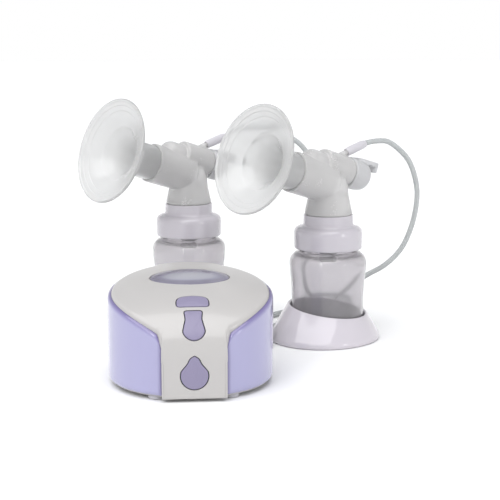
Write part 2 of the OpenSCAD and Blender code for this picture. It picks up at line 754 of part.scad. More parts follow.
base_shell();
top_cover();
side_panel(-1);  // left_side_panel
side_panel(1);  // right_side_panel
display_window();
display_module();
power_button();
mode_button();
suction_button();
control_board();
button_switches();
motor();
motor_bracket();
eccentric_shaft();
connecting_rod();
pump_head();
pump_diaphragm();
release_valve();
air_manifold();
outlet_ports();
power_inlet();
feet();
case_screws();
shield(RIGHT);  // right_shield
connector(RIGHT);  // right_connector
membrane(RIGHT);  // right_membrane
backflow_cap(RIGHT);  // right_backflow_cap
tube_sleeve(RIGHT);  // right_tube_sleeve
duckbill(RIGHT);  // right_duckbill
collar(RIGHT);  // right_collar
bottle(RIGHT);  // right_bottle
stand(RIGHT);  // right_stand
shield(LEFT);  // left_shield
connector(LEFT);  // left_connector
membrane(LEFT);  // left_membrane
backflow_cap(LEFT);  // left_backflow_cap
tube_sleeve(LEFT);  // left_tube_sleeve
duckbill(LEFT);  // left_duckbill
collar(LEFT);  // left_collar
bottle(LEFT);  // left_bottle
stand(LEFT);  // left_stand
right_tube();
coil(right_coil_at, right_coil_turns);  // right_coil
left_tube();
coil(left_coil_at, left_coil_turns);  // left_coil
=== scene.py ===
"""Double electric breast pump: pump unit, two collection kits and their air tubing."""
from math import asin, atan2, cos, degrees, hypot, pi, radians, sin, sqrt

import bmesh
import bpy
from mathutils import Matrix, Vector


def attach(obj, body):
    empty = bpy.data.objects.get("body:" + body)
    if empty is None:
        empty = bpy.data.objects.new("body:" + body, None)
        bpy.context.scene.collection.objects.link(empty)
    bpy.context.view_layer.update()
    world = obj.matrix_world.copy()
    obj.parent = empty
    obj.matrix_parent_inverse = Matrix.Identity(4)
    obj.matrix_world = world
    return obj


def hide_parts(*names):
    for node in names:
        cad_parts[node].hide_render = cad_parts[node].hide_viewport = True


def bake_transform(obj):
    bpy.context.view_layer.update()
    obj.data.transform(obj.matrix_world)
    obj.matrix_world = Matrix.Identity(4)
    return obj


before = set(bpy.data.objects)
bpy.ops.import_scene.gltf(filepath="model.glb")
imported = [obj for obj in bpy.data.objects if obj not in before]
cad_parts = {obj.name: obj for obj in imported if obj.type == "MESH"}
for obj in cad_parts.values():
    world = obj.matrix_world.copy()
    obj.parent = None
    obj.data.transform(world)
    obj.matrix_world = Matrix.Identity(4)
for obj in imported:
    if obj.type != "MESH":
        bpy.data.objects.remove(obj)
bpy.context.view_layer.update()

MM = 0.001

# Layout, in millimetres
PUMP = Vector((-36.5, -81, 0))
KITS = {"right": Vector((70.5, 28, 0)), "left": Vector((-30, 96, 0))}
KIT_TURN = radians(-54.7)

# Pump casing
BODY_R = 54.4
BAND_W = 40
FRONT_Y = 53.2
BODY_H = 69.5
BROW_H = 30
RIDGE_Y = BODY_R - 4.4
CURVE_N = 2.35
CROWN = 0.002
EDGE_R = 2.4
BAND_A = degrees(asin(BAND_W / 2 / BODY_R))
STEP_A = 0.4
SEAM_A = 0.25
WALL = 2
SHELL_Z = 3.1
FOOT_ROUND = 1.2
PANEL_DROP = 0.9
PANEL_LIP = 2.4
PANEL_ROLL = 3.6
PANEL_FOOT = 3.4
PANEL_T = 0.9
SKIN_T = 1.3
BAND_LOW = 1.8
CORNER_DROP = 9
CORNER_A = 5.5
SEAM = 0.25
KEY_GAP = 0.55
WINDOW_GAP = 0.5
WINDOW_Y = 12
WINDOW_FADE_X = 0.0215
WINDOW_FADE_Y = 0.0105
CUT_REACH = 9
PORT_X = 14
PORT_Z = 22
PORT_HOLE_R = 4.15
INLET_Z = 16
INLET_TURN = radians(60)
INLET_HOLE_R = 5.1
FOOT_X = 23.5
FOOT_Y = 40
SKIN_RINGS = 34
SKIN_SPREAD = 2.1
BAND_LEVELS = 22

# Collection kit, in its own frame
TILT = radians(17.5)
AXIS_Z = 116.2
TUNNEL_R = 13.4
TUNNEL_WALL = 1.4
RIM_R = 40
RIM_U = 76
COLLAR_R = 25
NECK_R = 20.2
COLLAR_Z = 68.3
FLANGE_Z = 79.5
FLANGE_R = 20
BAND_TOP = 93.3
SKIRT_R = 17.6
BOTTLE_R = 28.6
BOTTLE_H = 57
STAND_R = 38.8
CUP_R = 27.6
STAND_MID = 22.6
STAND_SLOPE = radians(7.4)
STAND_TURN = radians(-62.9)
STAND_STRETCH = 1.1
STAND_SHIFT = 2.4
STAND_LIP = 2.2
CHAMBER_V = 12.3
CHAMBER_R = 11.2
CHAMBER_BACK = -15
CHAMBER_FRONT = 12
CAP_BACK = -34
NIPPLE = Vector((0, 17.1, 137.7))
NIPPLE_LEAN = radians(15.6)
SLEEVE_LEN = 20.8
SLEEVE_R = 3.2
NIPPLE_R = 2.1
VOXEL = 0.5

# Tubing
TUBE_D = 4
COIL_R = 23
COIL_STEP = 15
PATH_PIECES = 3

TINY = 1e-6


# ---------------------------------------------------------------- places

def moved(offset):
    return Matrix.Translation(Vector(offset))


def turned(angle, axis):
    return Matrix.Rotation(angle, 4, axis)


def at_kit(side):
    return moved(KITS[side]) @ turned(KIT_TURN, "Z")


def on_axis(v=0):
    """Along the shield's tunnel: local Z runs out to the rim, local Y is up."""
    return moved((0, 0, AXIS_Z)) @ turned(pi / 2 - TILT, "X") @ moved((0, v, 0))


def on_nipple():
    return moved(NIPPLE) @ turned(NIPPLE_LEAN - pi / 2, "X")


def linked(name, data):
    """A new object in the scene that holds some data."""
    obj = bpy.data.objects.new(name, data)
    bpy.context.scene.collection.objects.link(obj)
    return obj


# ---------------------------------------------------------------- camera and light

def set_camera():
    data = bpy.data.cameras.new("camera")
    data.lens = 94.75
    data.sensor_width = 36
    data.clip_start = 0.01
    camera = linked("camera", data)
    camera.location = (-0.07129, -0.92740, 0.23808)
    camera.rotation_euler = (radians(79.894), 0, radians(-5))
    bpy.context.scene.camera = camera


def softbox(name, place, target, size, power):
    data = bpy.data.lights.new(name, "AREA")
    data.shape = "RECTANGLE"
    data.size, data.size_y = size
    data.energy = power
    lamp = linked(name, data)
    lamp.location = place
    aim = Vector(target) - Vector(place)
    lamp.rotation_euler = aim.to_track_quat("-Z", "Y").to_euler()


def set_studio():
    """White surroundings, dimmer overhead, with a broad light from above and two soft boxes."""
    scene = bpy.context.scene
    scene.view_settings.view_transform = "Standard"
    world = bpy.data.worlds.new("studio")
    world.use_nodes = True
    tree = world.node_tree
    place = tree.nodes.new("ShaderNodeTexCoord")
    split = tree.nodes.new("ShaderNodeSeparateXYZ")
    ramp = tree.nodes.new("ShaderNodeValToRGB")
    tree.links.new(place.outputs["Generated"], split.inputs[0])
    tree.links.new(split.outputs["Z"], ramp.inputs["Fac"])
    tree.links.new(ramp.outputs["Color"], tree.nodes["Background"].inputs["Color"])
    ramp.color_ramp.elements[0].position = 0.12
    ramp.color_ramp.elements[0].color = (1, 1, 1, 1)
    ramp.color_ramp.elements[1].position = 0.4
    ramp.color_ramp.elements[1].color = (0.5, 0.51, 0.53, 1)
    scene.world = world
    sun = bpy.data.lights.new("overhead", "SUN")
    sun.energy = 2.3
    sun.angle = radians(70)
    lamp = linked("overhead", sun)
    lamp.rotation_euler = (radians(18), radians(-12), 0)
    softbox("key", (-0.5, -0.9, 0.7), (0, 0, 0.08), (0.16, 0.28), 1.0)
    softbox("fill", (0.75, -0.7, 0.3), (0.07, 0, 0.05), (0.12, 0.3), 0.7)


# ---------------------------------------------------------------- finishes

class Wire:
    """An output socket that takes part in sums and products."""

    def __init__(self, finish, socket):
        self.finish = finish
        self.socket = socket

    def sum_of(self, operation, first, second):
        return self.finish.node("ShaderNodeMath", {"operation": operation}, {0: first, 1: second})

    def __add__(self, other):
        return self.sum_of("ADD", self, other)

    def __sub__(self, other):
        return self.sum_of("SUBTRACT", self, other)

    def __rsub__(self, other):
        return self.sum_of("SUBTRACT", other, self)

    def __mul__(self, other):
        return self.sum_of("MULTIPLY", self, other)

    def __pow__(self, other):
        return self.sum_of("POWER", self, other)

    __radd__ = __add__
    __rmul__ = __mul__

    def output(self, index):
        """Another output of the same node."""
        return Wire(self.finish, self.socket.node.outputs[index])


class Finish:
    """One material, built node by node."""

    def __init__(self, name):
        self.material = bpy.data.materials.new(name)
        self.material.use_nodes = True
        self.tree = self.material.node_tree
        self.tree.nodes.clear()

    def node(self, kind, settings=None, sockets=None, out=0):
        made = self.tree.nodes.new(kind)
        for name, value in (settings or {}).items():
            if name == "stops":
                self.set_stops(made.color_ramp, value)
            else:
                setattr(made, name, value)
        for name, value in (sockets or {}).items():
            if isinstance(value, Wire):
                self.tree.links.new(value.socket, made.inputs[name])
            else:
                made.inputs[name].default_value = value
        return Wire(self, made.outputs[out])

    def set_stops(self, ramp, stops):
        while len(ramp.elements) < len(stops):
            ramp.elements.new(1)
        for element, (place, colour) in zip(ramp.elements, stops):
            element.position = place
            element.color = colour

    def place(self):
        return self.node("ShaderNodeTexCoord", out="Object")

    def noise(self, place, scale, detail=2.0):
        return self.node(
            "ShaderNodeTexNoise", {}, {"Vector": place, "Scale": scale, "Detail": detail}
        )

    def bump(self, height, strength, distance=0.0002):
        return self.node(
            "ShaderNodeBump", {}, {"Strength": strength, "Distance": distance, "Height": height}
        )

    def blend(self, share, first, second):
        return self.node(
            "ShaderNodeMix",
            {"data_type": "RGBA"},
            {"Factor": share, 6: first, 7: second},
            out=2,
        )

    def finish(self, **sockets):
        """Ends the tree in a Principled shader and gives the material."""
        named = {name.replace("_", " "): value for name, value in sockets.items()}
        shader = self.node("ShaderNodeBsdfPrincipled", {}, named)
        output = self.tree.nodes.new("ShaderNodeOutputMaterial")
        self.tree.links.new(shader.socket, output.inputs["Surface"])
        return self.material


def rgba(colour, share=1.0):
    return (colour[0] * share, colour[1] * share, colour[2] * share, 1)


def moulded(name, colour, roughness, shade=0.9, cloud=28, grain=1800, relief=0.05, **constants):
    """Moulded plastic or rubber: faint clouding, uneven gloss and a fine skin."""
    f = Finish(name)
    place = f.place()
    clouds = f.noise(place, cloud, 3.0)
    skin = f.noise(place, grain, 2.0)
    tint = f.blend(clouds, rgba(colour), rgba(colour, shade))
    gloss = clouds * 0.06 + (skin * 0.05 + (roughness - 0.055))
    return f.finish(
        Base_Color=tint, Roughness=gloss, Normal=f.bump(skin, relief), **constants
    )


def metal(name, colour, roughness, brushed):
    """Plated or rolled metal, brushed along one direction."""
    f = Finish(name)
    place = f.node("ShaderNodeMapping", {}, {"Vector": f.place(), "Scale": brushed})
    lines = f.noise(place, 900, 3.0)
    tint = f.blend(lines, rgba(colour), rgba(colour, 0.8))
    return f.finish(
        Base_Color=tint, Roughness=lines * 0.15 + roughness,
        Normal=f.bump(lines, 0.15, 0.0001), Metallic=1.0,
    )


def board_finish():
    """Lacquered circuit board: copper tracks show through as paler bands."""
    f = Finish("board_green")
    place = f.place()
    tracks = f.node(
        "ShaderNodeTexBrick",
        {"offset": 0.37},
        {"Vector": place, "Scale": 260.0, "Mortar Size": 0.04, "Color1": (0.02, 0.16, 0.08, 1),
         "Color2": (0.02, 0.13, 0.07, 1), "Mortar": (0.09, 0.30, 0.14, 1)},
    )
    cloud = f.noise(place, 300)
    return f.finish(Base_Color=tracks, Roughness=cloud * 0.2 + 0.25, Coat_Weight=0.4)


def window_finish():
    """Smoked display window: a dark rim fades into a paler screen."""
    f = Finish("window_smoke")
    place = f.place()
    middle = (PUMP + Vector((0, WINDOW_Y, 0))) * MM
    split = f.node("ShaderNodeSeparateXYZ", {}, {"Vector": place})
    side = (split.output(0) - middle.x) * (1 / WINDOW_FADE_X)
    front = (split.output(1) - middle.y) * (1 / WINDOW_FADE_Y)
    reach = side * side + front * front
    screen = f.node(
        "ShaderNodeValToRGB",
        {"stops": [
            (0.0, (0.34, 0.345, 0.39, 1)),
            (0.3, (0.30, 0.30, 0.36, 1)),
            (0.48, (0.17, 0.155, 0.24, 1)),
            (0.68, (0.10, 0.085, 0.15, 1)),
        ]},
        {"Fac": reach * 0.6},
    )
    cloud = f.noise(place, 60, 3.0)
    tint = f.blend(cloud * 0.35, screen, rgba((0.5, 0.5, 0.58)))
    return f.finish(Base_Color=tint, Roughness=cloud * 0.06 + 0.05, Coat_Weight=0.8)


def panel_finish():
    """Glossy lavender side panel, with shade painted in where its edge rolls inwards towards the
    seam.
    """
    f = Finish("panel_lavender")
    place = f.place()
    # painted shade: the rim attribute darkens the lavender towards the rolled edge, in place of the
    # shadow in the seam
    rim = f.node("ShaderNodeAttribute", {"attribute_name": "rim"}, out=2)
    depth = f.node(
        "ShaderNodeValToRGB",
        {"stops": [
            (0.0, (0.375, 0.365, 0.56, 1)),
            (0.35, (0.325, 0.31, 0.505, 1)),
            (0.8, (0.21, 0.18, 0.37, 1)),
            (1.0, (0.13, 0.11, 0.24, 1)),
        ]},
        {"Fac": rim},
    )
    clouds = f.noise(place, 28, 3.0)
    skin = f.noise(place, 1800)
    tint = f.blend(clouds * 0.12, depth, (0.30, 0.28, 0.50, 1))
    return f.finish(
        Base_Color=tint, Roughness=clouds * 0.06 + 0.13, Normal=f.bump(skin, 0.04),
        Coat_Weight=0.7, Coat_Roughness=0.04,
    )


def make_finishes():
    clear = {"Transmission_Weight": 0.6, "IOR": 1.42}
    return {
        "casing_white": moulded(
            "casing_white", (0.49, 0.475, 0.465), 0.3, 0.96, Coat_Weight=0.3, Coat_Roughness=0.06
        ),
        "panel_lavender": panel_finish(),
        "button_lavender": moulded(
            "button_lavender", (0.26, 0.235, 0.355), 0.38, 0.93, grain=2600, relief=0.2
        ),
        "window_smoke": window_finish(),
        "display_grey": moulded("display_grey", (0.12, 0.14, 0.12), 0.3),
        "board_green": board_finish(),
        "plated_steel": metal("plated_steel", (0.62, 0.62, 0.64), 0.25, (1, 1, 1)),
        "motor_can": metal("motor_can", (0.55, 0.56, 0.58), 0.3, (0.1, 4, 4)),
        "inner_plastic": moulded("inner_plastic", (0.70, 0.70, 0.72), 0.45),
        "black_plastic": moulded("black_plastic", (0.03, 0.03, 0.035), 0.4, 0.8, relief=0.15),
        "diaphragm_rubber": moulded("diaphragm_rubber", (0.05, 0.05, 0.055), 0.6, 0.8, relief=0.2),
        "foot_rubber": moulded("foot_rubber", (0.55, 0.54, 0.57), 0.5, 0.85, relief=0.2),
        "shield_clear": moulded(
            "shield_clear", (0.81, 0.81, 0.805), 0.1, 0.96, cloud=14, **clear
        ),
        "connector_frost": moulded(
            "connector_frost", (0.80, 0.79, 0.785), 0.26, 0.88, cloud=60, relief=0.1,
            Transmission_Weight=0.4, IOR=1.38
        ),
        "silicone_milky": moulded(
            "silicone_milky", (0.74, 0.74, 0.75), 0.33, 0.93, cloud=50, relief=0.1,
            Transmission_Weight=0.35, IOR=1.41
        ),
        "sleeve_white": moulded(
            "sleeve_white", (0.68, 0.66, 0.70), 0.32, 0.92, relief=0.1, Transmission_Weight=0.15
        ),
        "collar_white": moulded(
            "collar_white", (0.62, 0.59, 0.635), 0.2, 0.94, Transmission_Weight=0.12,
            Coat_Weight=0.5, Coat_Roughness=0.04
        ),
        "bottle_clear": moulded(
            "bottle_clear", (0.83, 0.81, 0.83), 0.09, 0.96, cloud=20,
            Transmission_Weight=0.84, IOR=1.45
        ),
        "stand_white": moulded(
            "stand_white", (0.62, 0.585, 0.63), 0.13, 0.95, Coat_Weight=0.6, Coat_Roughness=0.03
        ),
        "tube_clear": moulded(
            "tube_clear", (0.60, 0.62, 0.62), 0.14, 0.9, cloud=90, Transmission_Weight=0.45,
            IOR=1.43
        ),
    }


# ---------------------------------------------------------------- meshes

def evaluated(obj):
    """Applies the modifiers of an object to a plain mesh."""
    graph = bpy.context.evaluated_depsgraph_get()
    mesh = bpy.data.meshes.new_from_object(obj.evaluated_get(graph))
    old = obj.data
    obj.modifiers.clear()
    obj.data = mesh
    bpy.data.meshes.remove(old)
    return obj


def raw(name, points, faces, place=Matrix.Identity(4), merge=0.001):
    """An object from points in millimetres, with doubles merged and faces turned outwards."""
    mesh = bpy.data.meshes.new(name)
    mesh.from_pydata([(place @ Vector(p)) * MM for p in points], [], faces)
    bm = bmesh.new()
    bm.from_mesh(mesh)
    bmesh.ops.remove_doubles(bm, verts=bm.verts, dist=merge * MM)
    bmesh.ops.recalc_face_normals(bm, faces=bm.faces)
    bm.to_mesh(mesh)
    bm.free()
    return linked(name, mesh)


def shade(obj, sharp_above):
    """Smooth faces, with edges kept crisp above an angle in degrees."""
    bm = bmesh.new()
    bm.from_mesh(obj.data)
    limit = radians(sharp_above)
    for face in bm.faces:
        face.smooth = True
    for edge in bm.edges:
        edge.smooth = len(edge.link_faces) != 2 or edge.calc_face_angle(0) < limit
    bm.to_mesh(obj.data)
    bm.free()


def done(obj, finish, body, nodes, sharp_above=40):
    """Gives a piece its finish and its body, and hides the CAD nodes it stands for."""
    obj.data.materials.clear()
    obj.data.materials.append(FINISHES[finish])
    shade(obj, sharp_above)
    if nodes:
        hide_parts(*nodes)
    if body:
        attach(obj, body)
    return obj


def combine(name, parts):
    """One object that holds the geometry of several, which are removed."""
    bm = bmesh.new()
    for part in parts:
        bm.from_mesh(part.data)
        bpy.data.objects.remove(part)
    mesh = bpy.data.meshes.new(name)
    bm.to_mesh(mesh)
    bm.free()
    return linked(name, mesh)


def copied(obj, name, place):
    other = linked(name, obj.data.copy())
    to_metres = place.copy()
    to_metres.translation *= MM
    other.data.transform(to_metres)
    return other


def welded(obj, voxel, smoothing):
    """Overlapping closed forms as one skin with soft inside corners."""
    remesh = obj.modifiers.new("weld", "REMESH")
    remesh.mode = "VOXEL"
    remesh.voxel_size = voxel * MM
    relax = obj.modifiers.new("relax", "SMOOTH")
    relax.factor = 0.5
    relax.iterations = smoothing
    return evaluated(obj)


def cut(obj, cutters):
    """Takes each closed cutter out of an object."""
    for cutter in cutters:
        modifier = obj.modifiers.new("cut", "BOOLEAN")
        modifier.operation = "DIFFERENCE"
        modifier.solver = "MANIFOLD"
        modifier.object = cutter
        evaluated(obj)
        bpy.data.objects.remove(cutter)
    return obj


def rounded(outline, radius, steps=4):
    """A closed outline with each corner turned into a short curve."""
    result = []
    count = len(outline)
    for i, point in enumerate(outline):
        corner = Vector(point[:2])
        if abs(corner.x) < TINY:
            result.append(corner)
            continue
        reach = point[2] if len(point) > 2 else radius
        before = Vector(outline[i - 1][:2]) - corner
        after = Vector(outline[(i + 1) % count][:2]) - corner
        start = corner + before.normalized() * min(reach, before.length * 0.48)
        end = corner + after.normalized() * min(reach, after.length * 0.48)
        for k in range(steps + 1):
            t = k / steps
            result.append(start * (1 - t) ** 2 + corner * 2 * t * (1 - t) + end * t * t)
    return result


def lathe(name, profile, place=Matrix.Identity(4), steps=96):
    """A closed profile of (radius, height) turned about local Z."""
    return turned_form(name, [profile] * steps, place)


def turned_form(name, sections, place=Matrix.Identity(4)):
    """A closed profile for each of many directions, in one turn about local Z."""
    steps, count = len(sections), len(sections[0])
    points, faces = [], []
    for k, section in enumerate(sections):
        a = 2 * pi * k / steps
        points += [(p[0] * cos(a), p[0] * sin(a), p[1]) for p in section]
    for k, section in enumerate(sections):
        after = (k + 1) % steps
        for i in range(count):
            j = (i + 1) % count
            if max(section[i][0], section[j][0]) > TINY:
                faces.append((k * count + i, k * count + j, after * count + j, after * count + i))
    return raw(name, points, faces, place)


def rod(name, radius, low, high, place=Matrix.Identity(4)):
    return lathe(name, [(0, low), (radius, low), (radius, high), (0, high)], place)


def prism(name, outline, low, high, place=Matrix.Identity(4)):
    """A closed outline pulled up from low to high."""
    count = len(outline)
    points = [(p[0], p[1], low) for p in outline] + [(p[0], p[1], high) for p in outline]
    faces = [tuple(range(count)), tuple(range(count, 2 * count))]
    faces += [(i, (i + 1) % count, count + (i + 1) % count, count + i) for i in range(count)]
    return raw(name, points, faces, place)


def arc(centre, radius, start, end, steps):
    """Points of an arc, from start to end in degrees."""
    angles = [radians(start + (end - start) * k / steps) for k in range(steps + 1)]
    return [(centre[0] + radius * cos(a), centre[1] + radius * sin(a)) for a in angles]


def circle(radius, sides):
    angles = [2 * pi * k / sides for k in range(sides)]
    return [(radius * cos(a), radius * sin(a)) for a in angles]


# ---------------------------------------------------------------- pump casing

def top_z(x, y):
    """Height of the casing's top over a point of the plan."""
    u = min(1.0, max(0.0, (RIDGE_Y - y) / (RIDGE_Y + FRONT_Y)))
    rise = max(0.0, 1 - u ** CURVE_N) ** (1 / CURVE_N)
    return BROW_H + (BODY_H - BROW_H) * rise - CROWN * x * x


def plan_r(a):
    """Radius of the plan in a direction, in degrees from the front."""
    inside = abs(a) < BAND_A - STEP_A / 2
    return FRONT_Y / cos(radians(a)) if inside else BODY_R


def plan(a, r):
    return r * sin(radians(a)), -r * cos(radians(a))


def panel_top(a):
    """Height of a side panel's upper edge."""
    x, y = plan(a, BODY_R)
    return top_z(x, y) - PANEL_DROP - CORNER_DROP * (1 - corner_way(a)) ** 2


def corner_way(a):
    """From 0 at a panel's front or back edge to 1 a few degrees along it."""
    return min(1.0, max(0.0, min(a - BAND_A, 180 - BAND_A - a) / CORNER_A))


def corner_share(a):
    """The same, with a soft start and end."""
    t = corner_way(a)
    return t * t * (3 - 2 * t)


def casing_reach(a):
    """The casing's radius: its rim steps in behind the side panels."""
    full = plan_r(a)
    return full - PANEL_LIP * corner_share(fold(a)) if abs(abs(a) - 90) < 90 - BAND_A else full


def casing_columns():
    """Directions of the casing's grid: (angle, is in a band)."""
    edge = BAND_A - STEP_A
    start = BAND_A - SEAM_A
    front = [(-edge + 2 * edge * k / 20, True) for k in range(21)]
    right = [(start + (180 - 2 * start) * panel_share(k / 64), False) for k in range(65)]
    back = [(180 - edge + 2 * edge * k / 20, True) for k in range(21)]
    left = [(180 + a, False) for a, _ in right]
    return front + right + back + left


def panel_share(t):
    """Spacing along a panel, closer together near its ends."""
    return t - sin(2 * pi * t) / (2 * pi) * 0.55


def signed(a):
    return a - 360 if a > 180 else a


def casing_skin():
    """The casing's outer skin, open where the panels and the tray go."""
    columns = casing_columns()
    points = [(0, 0, top_z(0, 0))]
    grid, returns = [], {}

    def add(p):
        points.append(p)
        return len(points) - 1

    for i, (a, band) in enumerate(columns):
        reach = casing_reach(signed(a))
        column = []
        for k in range(SKIN_RINGS - 1, -1, -1):
            inset = reach * (k / SKIN_RINGS) ** SKIN_SPREAD
            x, y = plan(a, reach - inset)
            drop = EDGE_R - sqrt(max(0, EDGE_R**2 - max(0, EDGE_R - inset) ** 2))
            column.append(add((x, y, top_z(x, y) - drop)))
        x, y = plan(a, reach)
        high = top_z(x, y) - EDGE_R
        behind = SEAM - (PANEL_LIP + SEAM) * corner_share(fold(a))
        low = min(high - 1, corner_z() if band else panel_top(fold(a)) + behind)
        for k in range(1, 4):
            column.append(add((x, y, high + (low - high) * k / 3)))
        grid.append(column)
        if not band:
            x, y = plan(a, reach - WALL)
            returns[i] = add((x, y, low))
    count = len(columns)
    faces = []
    depth = len(grid[0])
    for i in range(count):
        j = (i + 1) % count
        faces.append((0, grid[i][0], grid[j][0]))
        for k in range(depth - 1):
            faces.append((grid[i][k], grid[i][k + 1], grid[j][k + 1], grid[j][k]))
        if i in returns and j in returns:
            faces.append((grid[i][-1], returns[i], returns[j], grid[j][-1]))
    add_bands(columns, grid, returns, points, faces, add)
    return points, faces


def fold(a):
    """An angle of the right panel that stands for one of either panel."""
    a = abs(signed(a))
    return min(max(a, BAND_A), 180 - BAND_A)


def corner_z():
    return panel_top(BAND_A) + SEAM


def add_bands(columns, grid, returns, points, faces, add):
    """Carries the front and back bands down to the tray, with their side walls."""
    count = len(columns)
    for i, (a, band) in enumerate(columns):
        if not band:
            continue
        top = points[grid[i][-1]][2]
        reach = plan_r(signed(a))
        low = BAND_LOW + FOOT_ROUND
        heights = [
            (top + (low - top) * k / BAND_LEVELS, 0) for k in range(1, BAND_LEVELS + 1)
        ]
        heights += [
            (low - FOOT_ROUND * sin(b), FOOT_ROUND * (1 - cos(b)))
            for b in (radians(30), radians(60), radians(90))
        ]
        column = [grid[i][-1]]
        for z, inset in heights:
            x, y = plan(a, reach - inset)
            column.append(add((x, y, z)))
        grid[i].append(column)
    for i in range(count):
        j = (i + 1) % count
        if columns[i][1] and columns[j][1]:
            here, there = grid[i][-1], grid[j][-1]
            for k in range(len(here) - 1):
                faces.append((here[k], here[k + 1], there[k + 1], there[k]))
        elif columns[i][1] != columns[j][1]:
            band, side = (i, j) if columns[i][1] else (j, i)
            column = grid[band][-1]
            x, y = plan(columns[side][0], BODY_R - WALL)
            inner = [returns[side]]
            for k in range(1, len(column)):
                inner.append(add((x, y, min(points[column[k]][2], corner_z()))))
            faces.append((column[0], grid[side][-1], returns[side]))
            for k in range(len(column) - 1):
                faces.append((column[k], column[k + 1], inner[k + 1], inner[k]))


def in_casing(p):
    x, y, z = p
    a = degrees(atan2(x, -y))
    return hypot(x, y) < plan_r(a) and z < top_z(x, y)


POWER = ((-29, 59.2), 22)
MODE = ((-46.5, 48.5), 58)
SUCTION = ((-FRONT_Y, 18.5), 90)
WINDOW = ((WINDOW_Y, 0), 6)


def key_frame(key):
    """A key's place: local Z is its pressing direction, outwards."""
    (y, z), lean = key
    return moved((0, y, z or top_z(0, y))) @ turned(radians(lean), "X")


def power_outline(grow=0):
    points = [
        (-10.3, -4.7, 2.6), (10.3, -4.7, 2.6), (10.2, 4, 4), (6, 6.6, 4), (0, 7.2, 4),
        (-6, 6.6, 4), (-10.2, 4, 4),
    ]
    return grown(rounded(points, 2.6, 5), grow)


def mode_outline(grow=0):
    bowl = arc((0, -3.4), 7, 190, 350, 18)
    neck = [(5.3, 2.6, 2.5), (5.0, 4.6, 2.5), (5.7, 9.6), (4.7, 10.6), (-4.7, 10.6), (-5.7, 9.6),
            (-5.0, 4.6, 2.5), (-5.3, 2.6, 2.5)]
    return grown(rounded(bowl + neck, 1.4, 4), grow)


def suction_outline(grow=0):
    bowl = arc((0, -1.6), 8.7, 160, 380, 26)
    neck = [(4.0, 6.2, 2.4), (3.0, 9.2, 1.6), (0, 11.0, 2.4), (-3.0, 9.2, 1.6), (-4.0, 6.2, 2.4)]
    return grown(rounded(bowl + neck, 1.6, 4), grow)


def window_outline(grow=0):
    half_w, half_d, count = 26.3, 17, 72
    points = []
    for k in range(count):
        c, s = cos(2 * pi * k / count), sin(2 * pi * k / count)
        points.append((half_w * abs(c) ** 1.12 * (1 if c > 0 else -1), half_d * s))
    return grown(points, grow)


def grown(outline, distance):
    """An outline moved outwards by a distance."""
    if not distance:
        return [Vector(p[:2]) for p in outline]
    result = []
    count = len(outline)
    for i in range(count):
        here = Vector(outline[i][:2])
        along = Vector(outline[(i + 1) % count][:2]) - Vector(outline[i - 1][:2])
        out = Vector((along.y, -along.x)).normalized()
        if out.dot(here) < 0 and distance < 0:
            out = -out
        result.append(here + out * distance)
    return result


def skin_height(place, x, v):
    """How far along a key's own axis the casing's surface is, at a point of its outline."""
    low, high = -14.0, 14.0
    for _ in range(28):
        middle = (low + high) / 2
        if in_casing(place @ Vector((x, v, middle))):
            low = middle
        else:
            high = middle
    return (low + high) / 2


def cap_on_skin(name, key, outline, proud, depth, edge, dome):
    """A closed piece that follows the casing's surface inside an outline."""
    place = key_frame(key)
    centre = sum(outline, Vector((0, 0))) / len(outline)
    corners = (0, 15, 30, 50, 70, 90)
    rings = [(None, -depth), (0, -edge)]
    rings += [(edge * (1 - cos(radians(c))), edge * (sin(radians(c)) - 1)) for c in corners[1:]]
    inner = (0.86, 0.72, 0.56, 0.4, 0.22)
    points, count = [], len(outline)
    for inset, fall in rings:
        for p in outline:
            q = p - (p - centre).normalized() * (inset or 0)
            base = skin_height(place, q.x, q.y)
            points.append((q.x, q.y, base + (proud + fall if inset is not None else fall)))
    widest = max((p - centre).length for p in outline) - edge
    for share in inner:
        for p in outline:
            reach = (p - centre).length - edge
            q = centre + (p - centre).normalized() * reach * share
            rise = dome * (1 - share * share) * min(1, reach / widest)
            points.append((q.x, q.y, skin_height(place, q.x, q.y) + proud + rise))
    points.append((centre.x, centre.y, skin_height(place, centre.x, centre.y) + proud + dome))
    levels = len(rings) + len(inner)
    faces = [tuple(range(count))]
    for k in range(levels - 1):
        for i in range(count):
            j = (i + 1) % count
            faces.append((k * count + i, k * count + j, (k + 1) * count + j, (k + 1) * count + i))
    last = (levels - 1) * count
    faces += [(last + i, last + (i + 1) % count, len(points) - 1) for i in range(count)]
    return raw(name, points, faces, moved(PUMP) @ place)


def make_casing():
    points, faces = casing_skin()
    obj = raw("casing", points, faces, moved(PUMP), merge=0.02)
    face_out(obj, (0, 0, 1))
    bevel = obj.modifiers.new("edges", "BEVEL")
    bevel.width = 0.55 * MM
    bevel.segments = 3
    bevel.limit_method = "ANGLE"
    bevel.angle_limit = radians(48)
    thickened(obj, SKIN_T)
    cutters = [
        prism("cut", outline(gap), -CUT_REACH, CUT_REACH, moved(PUMP) @ key_frame(key))
        for key, outline, gap in (
            (POWER, power_outline, KEY_GAP), (MODE, mode_outline, KEY_GAP),
            (SUCTION, suction_outline, KEY_GAP), (WINDOW, window_outline, WINDOW_GAP),
        )
    ]
    for x in (-PORT_X, PORT_X):
        hole = moved(PUMP + Vector((x, 40, PORT_Z))) @ turned(-pi / 2, "X")
        cutters.append(prism("cut", circle(PORT_HOLE_R, 32), 0, 20, hole))
    cut(obj, cutters)
    return done(obj, "casing_white", "root", ["top_cover"], 32)


def face_out(obj, direction):
    """Turns an open skin over if its farthest face in a direction faces the other way."""
    direction = Vector(direction)
    bm = bmesh.new()
    bm.from_mesh(obj.data)
    farthest = max(bm.faces, key=lambda face: face.calc_center_median().dot(direction))
    if farthest.normal.dot(direction) < 0:
        bmesh.ops.reverse_faces(bm, faces=bm.faces)
    bm.to_mesh(obj.data)
    bm.free()


